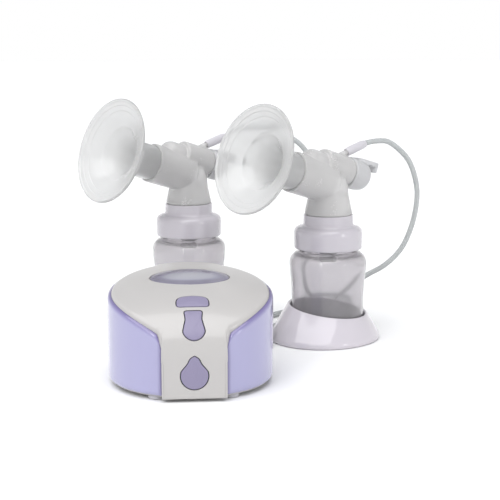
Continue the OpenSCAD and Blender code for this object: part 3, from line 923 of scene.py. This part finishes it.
def thickened(obj, wall):
    """Gives an open skin a wall, inwards."""
    modifier = obj.modifiers.new("wall", "SOLIDIFY")
    modifier.thickness = wall * MM
    modifier.offset = -1
    return evaluated(obj)


def make_panel(name, side):
    """A side panel: its face rolls inwards along its upper, front and back edges."""
    across, up = 84, 40
    points, seam_shade = [], []
    for i in range(across + 1):
        a = BAND_A + (180 - 2 * BAND_A) * panel_share(i / across)
        top = panel_top(a)
        for k in range(up + 1):
            t = k / up
            z = SHELL_Z + (top - SHELL_Z) * (t + sin(2 * pi * t) / (2 * pi) * -0.6)
            sideways = min(a - BAND_A, 180 - BAND_A - a) * radians(1) * BODY_R
            near = min(sideways, top - z)
            short = max(0, 1 - near / PANEL_ROLL)
            seam_shade.append(short)
            inset = PANEL_LIP * (1 - sqrt(max(0, 1 - short**2)))
            foot = max(0, 1 - (z - SHELL_Z) / PANEL_FOOT)
            inset = max(inset, PANEL_LIP * (1 - sqrt(max(0, 1 - foot**2))))
            x, y = plan(a, BODY_R - inset)
            points.append((side * x, y, z))
    rows = up + 1
    faces = [
        (i * rows + k, (i + 1) * rows + k, (i + 1) * rows + k + 1, i * rows + k + 1)
        for i in range(across)
        for k in range(up)
    ]
    obj = raw(name, points, faces, moved(PUMP), merge=0)
    # closeness to the rolled edge, stored as the rim attribute that drives the panel's painted seam
    # shade
    obj.data.attributes.new("rim", "FLOAT", "POINT").data.foreach_set("value", seam_shade)
    face_out(obj, (side, 0, 0))
    thickened(obj, PANEL_T)
    if side < 0:
        place = moved(PUMP + Vector((0, 0, INLET_Z))) @ turned(INLET_TURN, "Z")
        inlet = prism("cut", circle(INLET_HOLE_R, 40), 40, 62, place @ turned(-pi / 2, "X"))
        cut(obj, [inlet])
    node = "left_side_panel" if side < 0 else "right_side_panel"
    return done(obj, "panel_lavender", "root", [node], 50)


def make_pump_unit():
    make_casing()
    make_panel("panel_left", -1)
    make_panel("panel_right", 1)
    for name, key, outline in (
        ("power_button", POWER, power_outline),
        ("mode_button", MODE, mode_outline),
        ("suction_button", SUCTION, suction_outline),
    ):
        obj = cap_on_skin("key_" + name, key, outline(), 0.45, 3, 0.7, 0.3)
        done(obj, "button_lavender", name, [name], 50)
    window = cap_on_skin("window_pane", WINDOW, window_outline(), 0.0, 1.4, 0.5, 0.0)
    done(window, "window_smoke", "root", ["display_window"], 50)
    profile = rounded([(0, 0), (5.3, 0), (5.5, 1), (5.1, 2.5), (0, 2.5)], 0.5)
    spots = [(x, y) for y in (-FOOT_Y, FOOT_Y) for x in (-FOOT_X, FOOT_X)]
    for k, (x, y) in enumerate(spots):
        foot = lathe(f"foot_{k}", profile, moved(PUMP + Vector((x, y, 0))), 40)
        done(foot, "foot_rubber", "root", ["feet"] if k == 0 else [])


# ---------------------------------------------------------------- collection kits

def shield_form():
    """Breast shield: a broad lip with fine steps, a cone and the tunnel."""
    r, w = TUNNEL_R, TUNNEL_WALL
    throat = RIM_U - 21
    knee = RIM_R / 2
    profile = [
        (r, 22), (r, throat - 3), (r + 0.8, throat + 1.5), (r + 3, throat + 6),
        (knee + 0.4, RIM_U - 10.4), (RIM_R - 12, RIM_U - 5.8), (RIM_R - 4, RIM_U - 2),
        (RIM_R - 0.6, RIM_U - 0.7, 0.5), (RIM_R, RIM_U + 0.3, 0.5),
        (RIM_R - 0.5, RIM_U + 1.3, 0.5), (RIM_R - 1.6, RIM_U + 1.4, 0.5),
        (RIM_R - 2.6, RIM_U + 0.5, 0.5), (RIM_R - 5, RIM_U - 0.3, 0.5),
        (RIM_R - 5.3, RIM_U - 0.8, 0.3), (RIM_R - 8.6, RIM_U - 2, 0.5),
        (RIM_R - 8.9, RIM_U - 2.5, 0.3), (RIM_R - 12.6, RIM_U - 4),
        (knee + 1.2, RIM_U - 7.4, 1), (knee + 0.2, RIM_U - 8.2, 0.8), (knee - 0.9, RIM_U - 9.6, 1),
        (r + 1.8, throat + 7.2), (r - w + 1, throat + 2.2), (r - w, throat - 2.4), (r - w, 22),
    ]
    return lathe("shield", rounded(profile, 2.2), on_axis(), 144)


def collar_form():
    """Screw collar: a smooth skirt with a rounded shoulder and a narrower neck band."""
    r = COLLAR_R
    inner = NECK_R + 1.6
    profile = [
        (r - 0.2, COLLAR_Z, 0.4), (r + 0.2, COLLAR_Z + 1, 0.8), (r + 0.3, COLLAR_Z + 12, 2),
        (r - 0.5, COLLAR_Z + 14.6, 2), (r - 2.8, COLLAR_Z + 16, 2), (r - 5.8, COLLAR_Z + 16.8, 1.4),
        (r - 6.6, COLLAR_Z + 18.2, 1.2), (r - 6.8, BAND_TOP, 0.5), (SKIRT_R - 0.6, BAND_TOP, 0.2),
        (SKIRT_R - 0.6, FLANGE_Z + 2.2, 0.3), (20.4, FLANGE_Z + 2.2, 0.3),
        (20.4, FLANGE_Z - 0.4, 0.3), (inner, FLANGE_Z - 0.4, 0.3), (inner, COLLAR_Z, 0.3),
    ]
    return lathe("collar", rounded(profile, 1), steps=128)


def bottle_form():
    """Bottle: a thin clear wall, waisted, with a sloping shoulder and a threaded neck."""
    r = BOTTLE_R
    low = 3
    neck = NECK_R
    thread = []
    for k in range(3):
        z = BOTTLE_H + 12.4 + 2.9 * k
        thread += [(neck, z - 0.9, 0.3), (neck + 0.9, z - 0.2, 0.3), (neck + 0.9, z + 0.2, 0.3),
                   (neck, z + 0.9, 0.3)]
    profile = [
        (0, low + 0.8), (r - 9, low + 0.8, 1), (r - 7.6, low, 0.6), (r - 4.6, low, 1.5),
        (r - 2.2, low + 2, 1.5), (r - 1.6, low + 8), (r - 1.9, 30, 6), (r - 1.4, BOTTLE_H - 15, 4),
        (r - 0.4, BOTTLE_H - 7), (r, BOTTLE_H - 1), (r - 0.2, BOTTLE_H + 3),
        (r - 1.8, BOTTLE_H + 6), (neck + 3, BOTTLE_H + 8.6, 1.5), (neck, BOTTLE_H + 9.2, 0.8),
        *thread, (neck, FLANGE_Z - 0.1, 0.4), (neck - 2, FLANGE_Z - 0.1, 0.4),
        (neck - 2, BOTTLE_H + 7.4, 1.5), (r - 3.2, BOTTLE_H + 4.6, 2.5), (r - 1.4, BOTTLE_H - 1.2),
        (r - 1.8, BOTTLE_H - 7), (r - 2.8, BOTTLE_H - 15, 4), (r - 3.3, 30, 6),
        (r - 3.0, low + 8), (r - 5.0, low + 2.6, 1.6), (0, low + 2.2),
    ]
    return lathe("bottle", rounded(profile, 2.4), steps=128)


def stand_form():
    """Stand: an oval foot drawn up to a slanted round rim, with a cup for the bottle."""
    steps = 160
    return turned_form("stand", [stand_section(2 * pi * k / steps) for k in range(steps)])


def foot_reach(a, r):
    """Distance from the cup's axis to the oval foot in a direction."""
    wide = r * STAND_STRETCH
    x, y = cos(a) / r, sin(a) / wide
    back = STAND_SHIFT / wide
    share = x * x + y * y
    middle = -back * y
    return (middle + sqrt(middle * middle - share * (back * back - 1))) / share


def stand_section(a):
    """The stand's section in a direction: its rim is at the height of a slanted plane."""
    cup = CUP_R
    lip = cup + STAND_LIP
    height = STAND_MID - lip * sin(a - STAND_TURN) * sin(STAND_SLOPE) / cos(STAND_SLOPE)
    foot = foot_reach(a, STAND_R)
    swell = foot + (lip - foot) * 0.5 + 0.5
    return rounded([
        (0, 1), (cup + 1.8, 1, 0.5), (cup + 1.8, 8, 2), (STAND_R - 3, 3.4, 1),
        (STAND_R - 3, 0.4, 0.3), (STAND_R - 2.4, 0, 0.4), (foot - 0.8, 0, 0.6),
        (foot, 1.2, 0.8), (foot, 3.2, 1.6), (swell, 3.2 + (height - 3.2) * 0.5, 4),
        (lip + 0.1, height - 0.5, 0.9), (lip - 0.8, height + 0.1, 0.6), (cup + 0.7, height, 0.5),
        (cup, height - 0.9, 0.6), (cup, 12, 1), (cup, 3, 1), (0, 3),
    ], 1)


def connector_form():
    """Connector: skirt, shield socket and air chamber flow into each other."""
    socket_r = TUNNEL_R + 1.5
    dome_r, dome_base = 8.8, 22
    back, front = CHAMBER_BACK, CHAMBER_FRONT
    skirt = [
        (0, FLANGE_Z), (FLANGE_R, FLANGE_Z), (FLANGE_R, FLANGE_Z + 1.8),
        (SKIRT_R - 0.9, FLANGE_Z + 1.8),
        (SKIRT_R - 0.9, BAND_TOP + 0.6), (SKIRT_R + 0.1, BAND_TOP + 0.6), (14.9, AXIS_Z - 9),
        (14.3, AXIS_Z - 2), (12.7, AXIS_Z + 5), (8, AXIS_Z + 10), (0, AXIS_Z + 12),
    ]
    socket = [(0, 2), (socket_r, 2), (socket_r, 38.5), (0, 38.5)]
    chamber = [(0, back), (CHAMBER_R, back), (CHAMBER_R, front), (0, front)]
    dome = [(0, 11), (dome_r, 11), (dome_r, dome_base)] + [
        (dome_r * cos(radians(b)), dome_base + dome_r * sin(radians(b))) for b in range(15, 90, 15)
    ] + [(0, dome_base + dome_r)]
    forms = [
        lathe("form", skirt),
        lathe("form", rounded(socket, 0.6), on_axis()),
        lathe("form", rounded(chamber, 1.5), on_axis(CHAMBER_V)),
        lathe("form", dome, on_axis(CHAMBER_V - 0.6)),
        rod("form", 10, back - 8, back + 1, on_axis(CHAMBER_V)),
        rod("form", NIPPLE_R, -9, 4, on_nipple()),
    ]
    body = welded(combine("connector", forms), VOXEL, 12)
    return cut(body, [
        rod("cut", TUNNEL_R + 0.1, 21.5, 60, on_axis()),
        rod("cut", 11.5, 4, 30, on_axis()),
        rod("cut", 8.6, back - 12, front - 2, on_axis(CHAMBER_V)),
        rod("cut", 9.3, 60, AXIS_Z - 6),
    ])


def cap_form():
    """Soft cap over the back of the chamber, with its pull tab."""
    r = CHAMBER_R + 0.2
    back = CAP_BACK
    profile = rounded([
        (0, back + 0.2), (r - 3.4, back + 0.2, 3), (r - 0.6, back + 3.6, 4), (r, back + 9, 3),
        (r, CHAMBER_BACK - 0.4, 0.8), (0, CHAMBER_BACK - 0.4),
    ], 2, 6)
    tab = rounded([
        (r - 3, back + 12, 2), (r + 1.4, back + 12, 2.2), (r + 1.9, back - 8.4, 1),
        (r - 6, back - 8.4, 0.9), (r - 6, back - 5.8, 0.9), (r - 1.6, back - 5.6, 1.2),
        (r - 1.4, back + 1, 2), (r - 3, back + 3, 2),
    ], 1, 4)
    flat = on_axis(CHAMBER_V) @ turned(pi / 2, "Y") @ turned(pi / 2, "Z")
    low, rib_r = CHAMBER_BACK - 2.2, r + 0.35
    rib = rounded([(0, low), (rib_r, low), (rib_r, low + 1.4), (0, low + 1.4)], 0.5)
    forms = [
        lathe("form", profile, on_axis(CHAMBER_V)),
        prism("form", tab, -4.8, 4.8, flat),
        lathe("form", rib, on_axis(CHAMBER_V)),
    ]
    cap = welded(combine("cap", forms), VOXEL, 4)
    return cut(cap, [rod("cut", 10.1, CHAMBER_BACK - 9, CHAMBER_BACK + 2, on_axis(CHAMBER_V))])


def sleeve_form():
    """Soft sleeve that joins the tubing to the air nipple."""
    r, length = SLEEVE_R, SLEEVE_LEN
    profile = [
        (NIPPLE_R, 0.6, 0.2), (r - 0.5, 0.6, 0.4), (r - 0.1, 2.4, 1), (r - 0.1, 4.6, 0.6),
        (r, 6, 0.6),
        (r, length - 3, 1.4), (r - 0.7, length, 0.5), (NIPPLE_R, length, 0.2),
    ]
    return lathe("sleeve", rounded(profile, 0.5), on_nipple(), 48)


def make_kits():
    forms = {
        "shield": (shield_form(), "shield_clear", "{}_shield", "{}_shield"),
        "collar": (collar_form(), "collar_white", "{}_collar", "{}_collar"),
        "bottle": (bottle_form(), "bottle_clear", "{}_kit", "{}_bottle"),
        "stand": (stand_form(), "stand_white", "root", "{}_stand"),
        "connector": (connector_form(), "connector_frost", "{}_kit", "{}_connector"),
        "cap": (cap_form(), "silicone_milky", "{}_backflow_cap", "{}_backflow_cap"),
        "sleeve": (sleeve_form(), "sleeve_white", "{}_kit", "{}_tube_sleeve"),
    }  # each: form, finish, body, node
    for part, (form, finish, body, node) in forms.items():
        for side in KITS:
            obj = copied(form, f"{part}_{side}", at_kit(side))
            done(obj, finish, body.format(side), [node.format(side)], 38)
        bpy.data.objects.remove(form)


# ---------------------------------------------------------------- tubing

RIGHT_DROP = [
    (111.5, 56.5, 144.5), (120.5, 60.5, 143.5), (129.5, 63.5, 137.5), (137.5, 65.5, 129),
    (142.5, 66.5, 118), (145.5, 67.5, 104), (144.5, 68.5, 88), (140.5, 69.5, 72),
    (133.5, 70.5, 57.5), (121.5, 71.5, 45.5), (106.5, 72.5, 37), (89.5, 73.5, 24),
    (73.5, 72.5, 11), (59.5, 69.5, 4), (45.5, 63.5, 2.2), (29.5, 55.5, 2.2), (13.5, 47.5, 2.2),
    (0.5, 40.5, 2.2),
]
RIGHT_LEAD = [(-22.5, 5.5, 15.8), (-22.5, -3.5, 18), (-22.5, -12.5, 20.8)]
LEFT_DROP = [
    (11.5, 124.5, 147), (25.5, 125.5, 148.5), (40.5, 121.5, 146.5), (54.5, 116.5, 141),
    (64.5, 113.5, 131.5), (69, 110.5, 119), (69.5, 106.5, 104), (67.5, 101.5, 88),
    (64, 96, 72), (60, 90.5, 57), (57.5, 85, 43), (58.5, 81, 31), (63, 79, 21.5), (71, 78.3, 16),
]
LEFT_LEAD = [
    (56.5, 112.5, 2.2), (44.5, 102.5, 2.2), (32.5, 91.5, 2.2), (20.5, 80.5, 2.2), (9.5, 71, 2.2),
    (-1.5, 61.5, 2.2), (-13.5, 53.5, 2.2), (-26.5, 45.5, 2.2), (-37.5, 34.5, 2.2),
    (-45.5, 21.5, 3), (-49, 8.5, 7), (-50, -2.5, 12.5), (-50.5, -11.5, 18),
]


def sleeve_end(side, out):
    """A point where the tubing enters the sleeve, or a little way out of it."""
    return at_kit(side) @ on_nipple() @ Vector((0, 0, SLEEVE_LEN - 3.7 + out))


def port_end(x, out):
    return PUMP + Vector((x, BODY_R + 2.6 + out, PORT_Z))


def coil(centre, start, end, low, high):
    """Turns of a coil, from one angle to another in degrees."""
    steps = round(abs(end - start) / COIL_STEP)
    turns = []
    for k in range(steps + 1):
        a = radians(start + (end - start) * k / steps)
        z = low + (high - low) * k / steps
        turns.append(Vector((centre[0] + COIL_R * cos(a), centre[1] + COIL_R * sin(a), z)))
    return turns


def smooth_path(points, pieces):
    """A smooth curve through points, each stretch in a number of pieces."""
    points = [Vector(p) for p in points]
    last = len(points) - 1
    path = []
    for i in range(last):
        p0, p1, p2, p3 = points[max(0, i - 1)], points[i], points[i + 1], points[min(last, i + 2)]
        for j in range(pieces):
            t = j / pieces
            path.append(0.5 * (
                2 * p1 + (p2 - p0) * t + (2 * p0 - 5 * p1 + 4 * p2 - p3) * t * t
                + (3 * p1 - p0 - 3 * p2 + p3) * t**3
            ))
    return path + [points[last]]


def tube_form(name, path, radius, sides=14):
    """A round tube swept along a path, closed at both ends."""
    points, faces = [], []
    side = None
    for i, p in enumerate(path):
        ahead = (path[min(len(path) - 1, i + 1)] - path[max(0, i - 1)]).normalized()
        side = ahead.orthogonal() if side is None else side - ahead * side.dot(ahead)
        side.normalize()
        other = ahead.cross(side)
        for k in range(sides):
            a = 2 * pi * k / sides
            points.append(p + (side * cos(a) + other * sin(a)) * radius)
    for i in range(len(path) - 1):
        for k in range(sides):
            a, b = i * sides + k, i * sides + (k + 1) % sides
            faces.append((a, b, b + sides, a + sides))
    faces.append(tuple(range(sides)))
    faces.append(tuple(len(points) - sides + k for k in range(sides)))
    return raw(name, points, faces)


def path_length(path):
    return sum((b - a).length for a, b in zip(path, path[1:]))


def make_tubing():
    routes = {
        "right": (
            RIGHT_DROP, coil((0.5, 14.5), 120, 180 + 3 * 360, 2.2, 15.2), RIGHT_LEAD, PORT_X
        ),
        "left": (
            LEFT_DROP, coil((80.5, 101.5), 270, 487 + 2 * 360, 14.3, 2.2), LEFT_LEAD, -PORT_X
        ),
    }
    for side, (drop, turns, lead, port) in routes.items():
        start = [sleeve_end(side, 0), sleeve_end(side, 5)]
        end = [port_end(port, 3), port_end(port, 0)]
        path = smooth_path(start + drop + turns + lead + end, PATH_PIECES)
        tube = tube_form("tubing_" + side, path, TUBE_D / 2)
        done(tube, "tube_clear", None, [side + "_tube", side + "_coil"], 60)
        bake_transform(tube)
        path[0] * MM
        path_length(path) * MM
        [p * MM for p in path]


# ---------------------------------------------------------------- carried-over nodes and floor

CARRIED = {
    "casing_white": ["base_shell"],
    "display_grey": ["display_module"],
    "board_green": ["control_board"],
    "plated_steel": ["button_switches", "case_screws", "eccentric_shaft"],
    "motor_can": ["motor"],
    "inner_plastic": [
        "motor_bracket", "connecting_rod", "pump_head", "air_manifold", "outlet_ports"
    ],
    "black_plastic": ["release_valve", "power_inlet"],
    "diaphragm_rubber": ["pump_diaphragm"],
    "silicone_milky": [f"{side}_{part}" for side in KITS for part in ("membrane", "duckbill")],
}


def dress_nodes():
    """Gives the pieces that keep their modelled shape their finishes."""
    for finish, nodes in CARRIED.items():
        for node in nodes:
            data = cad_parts[node].data
            data.materials.clear()
            data.materials.append(FINISHES[finish])


def make_floor():
    mesh = bpy.data.meshes.new("floor")
    reach = 6
    mesh.from_pydata(
        [(-reach, -reach, 0), (reach, -reach, 0), (reach, reach, 0), (-reach, reach, 0)],
        [], [(0, 1, 2, 3)],
    )
    floor = linked("floor", mesh)
    mesh.materials.append(moulded("floor_paper", (0.93, 0.93, 0.93), 0.9, 0.995))
    floor.location.z = -0.0002


set_camera()
FINISHES = make_finishes()
make_tubing()
set_studio()
make_floor()
make_pump_unit()
make_kits()
dress_nodes()
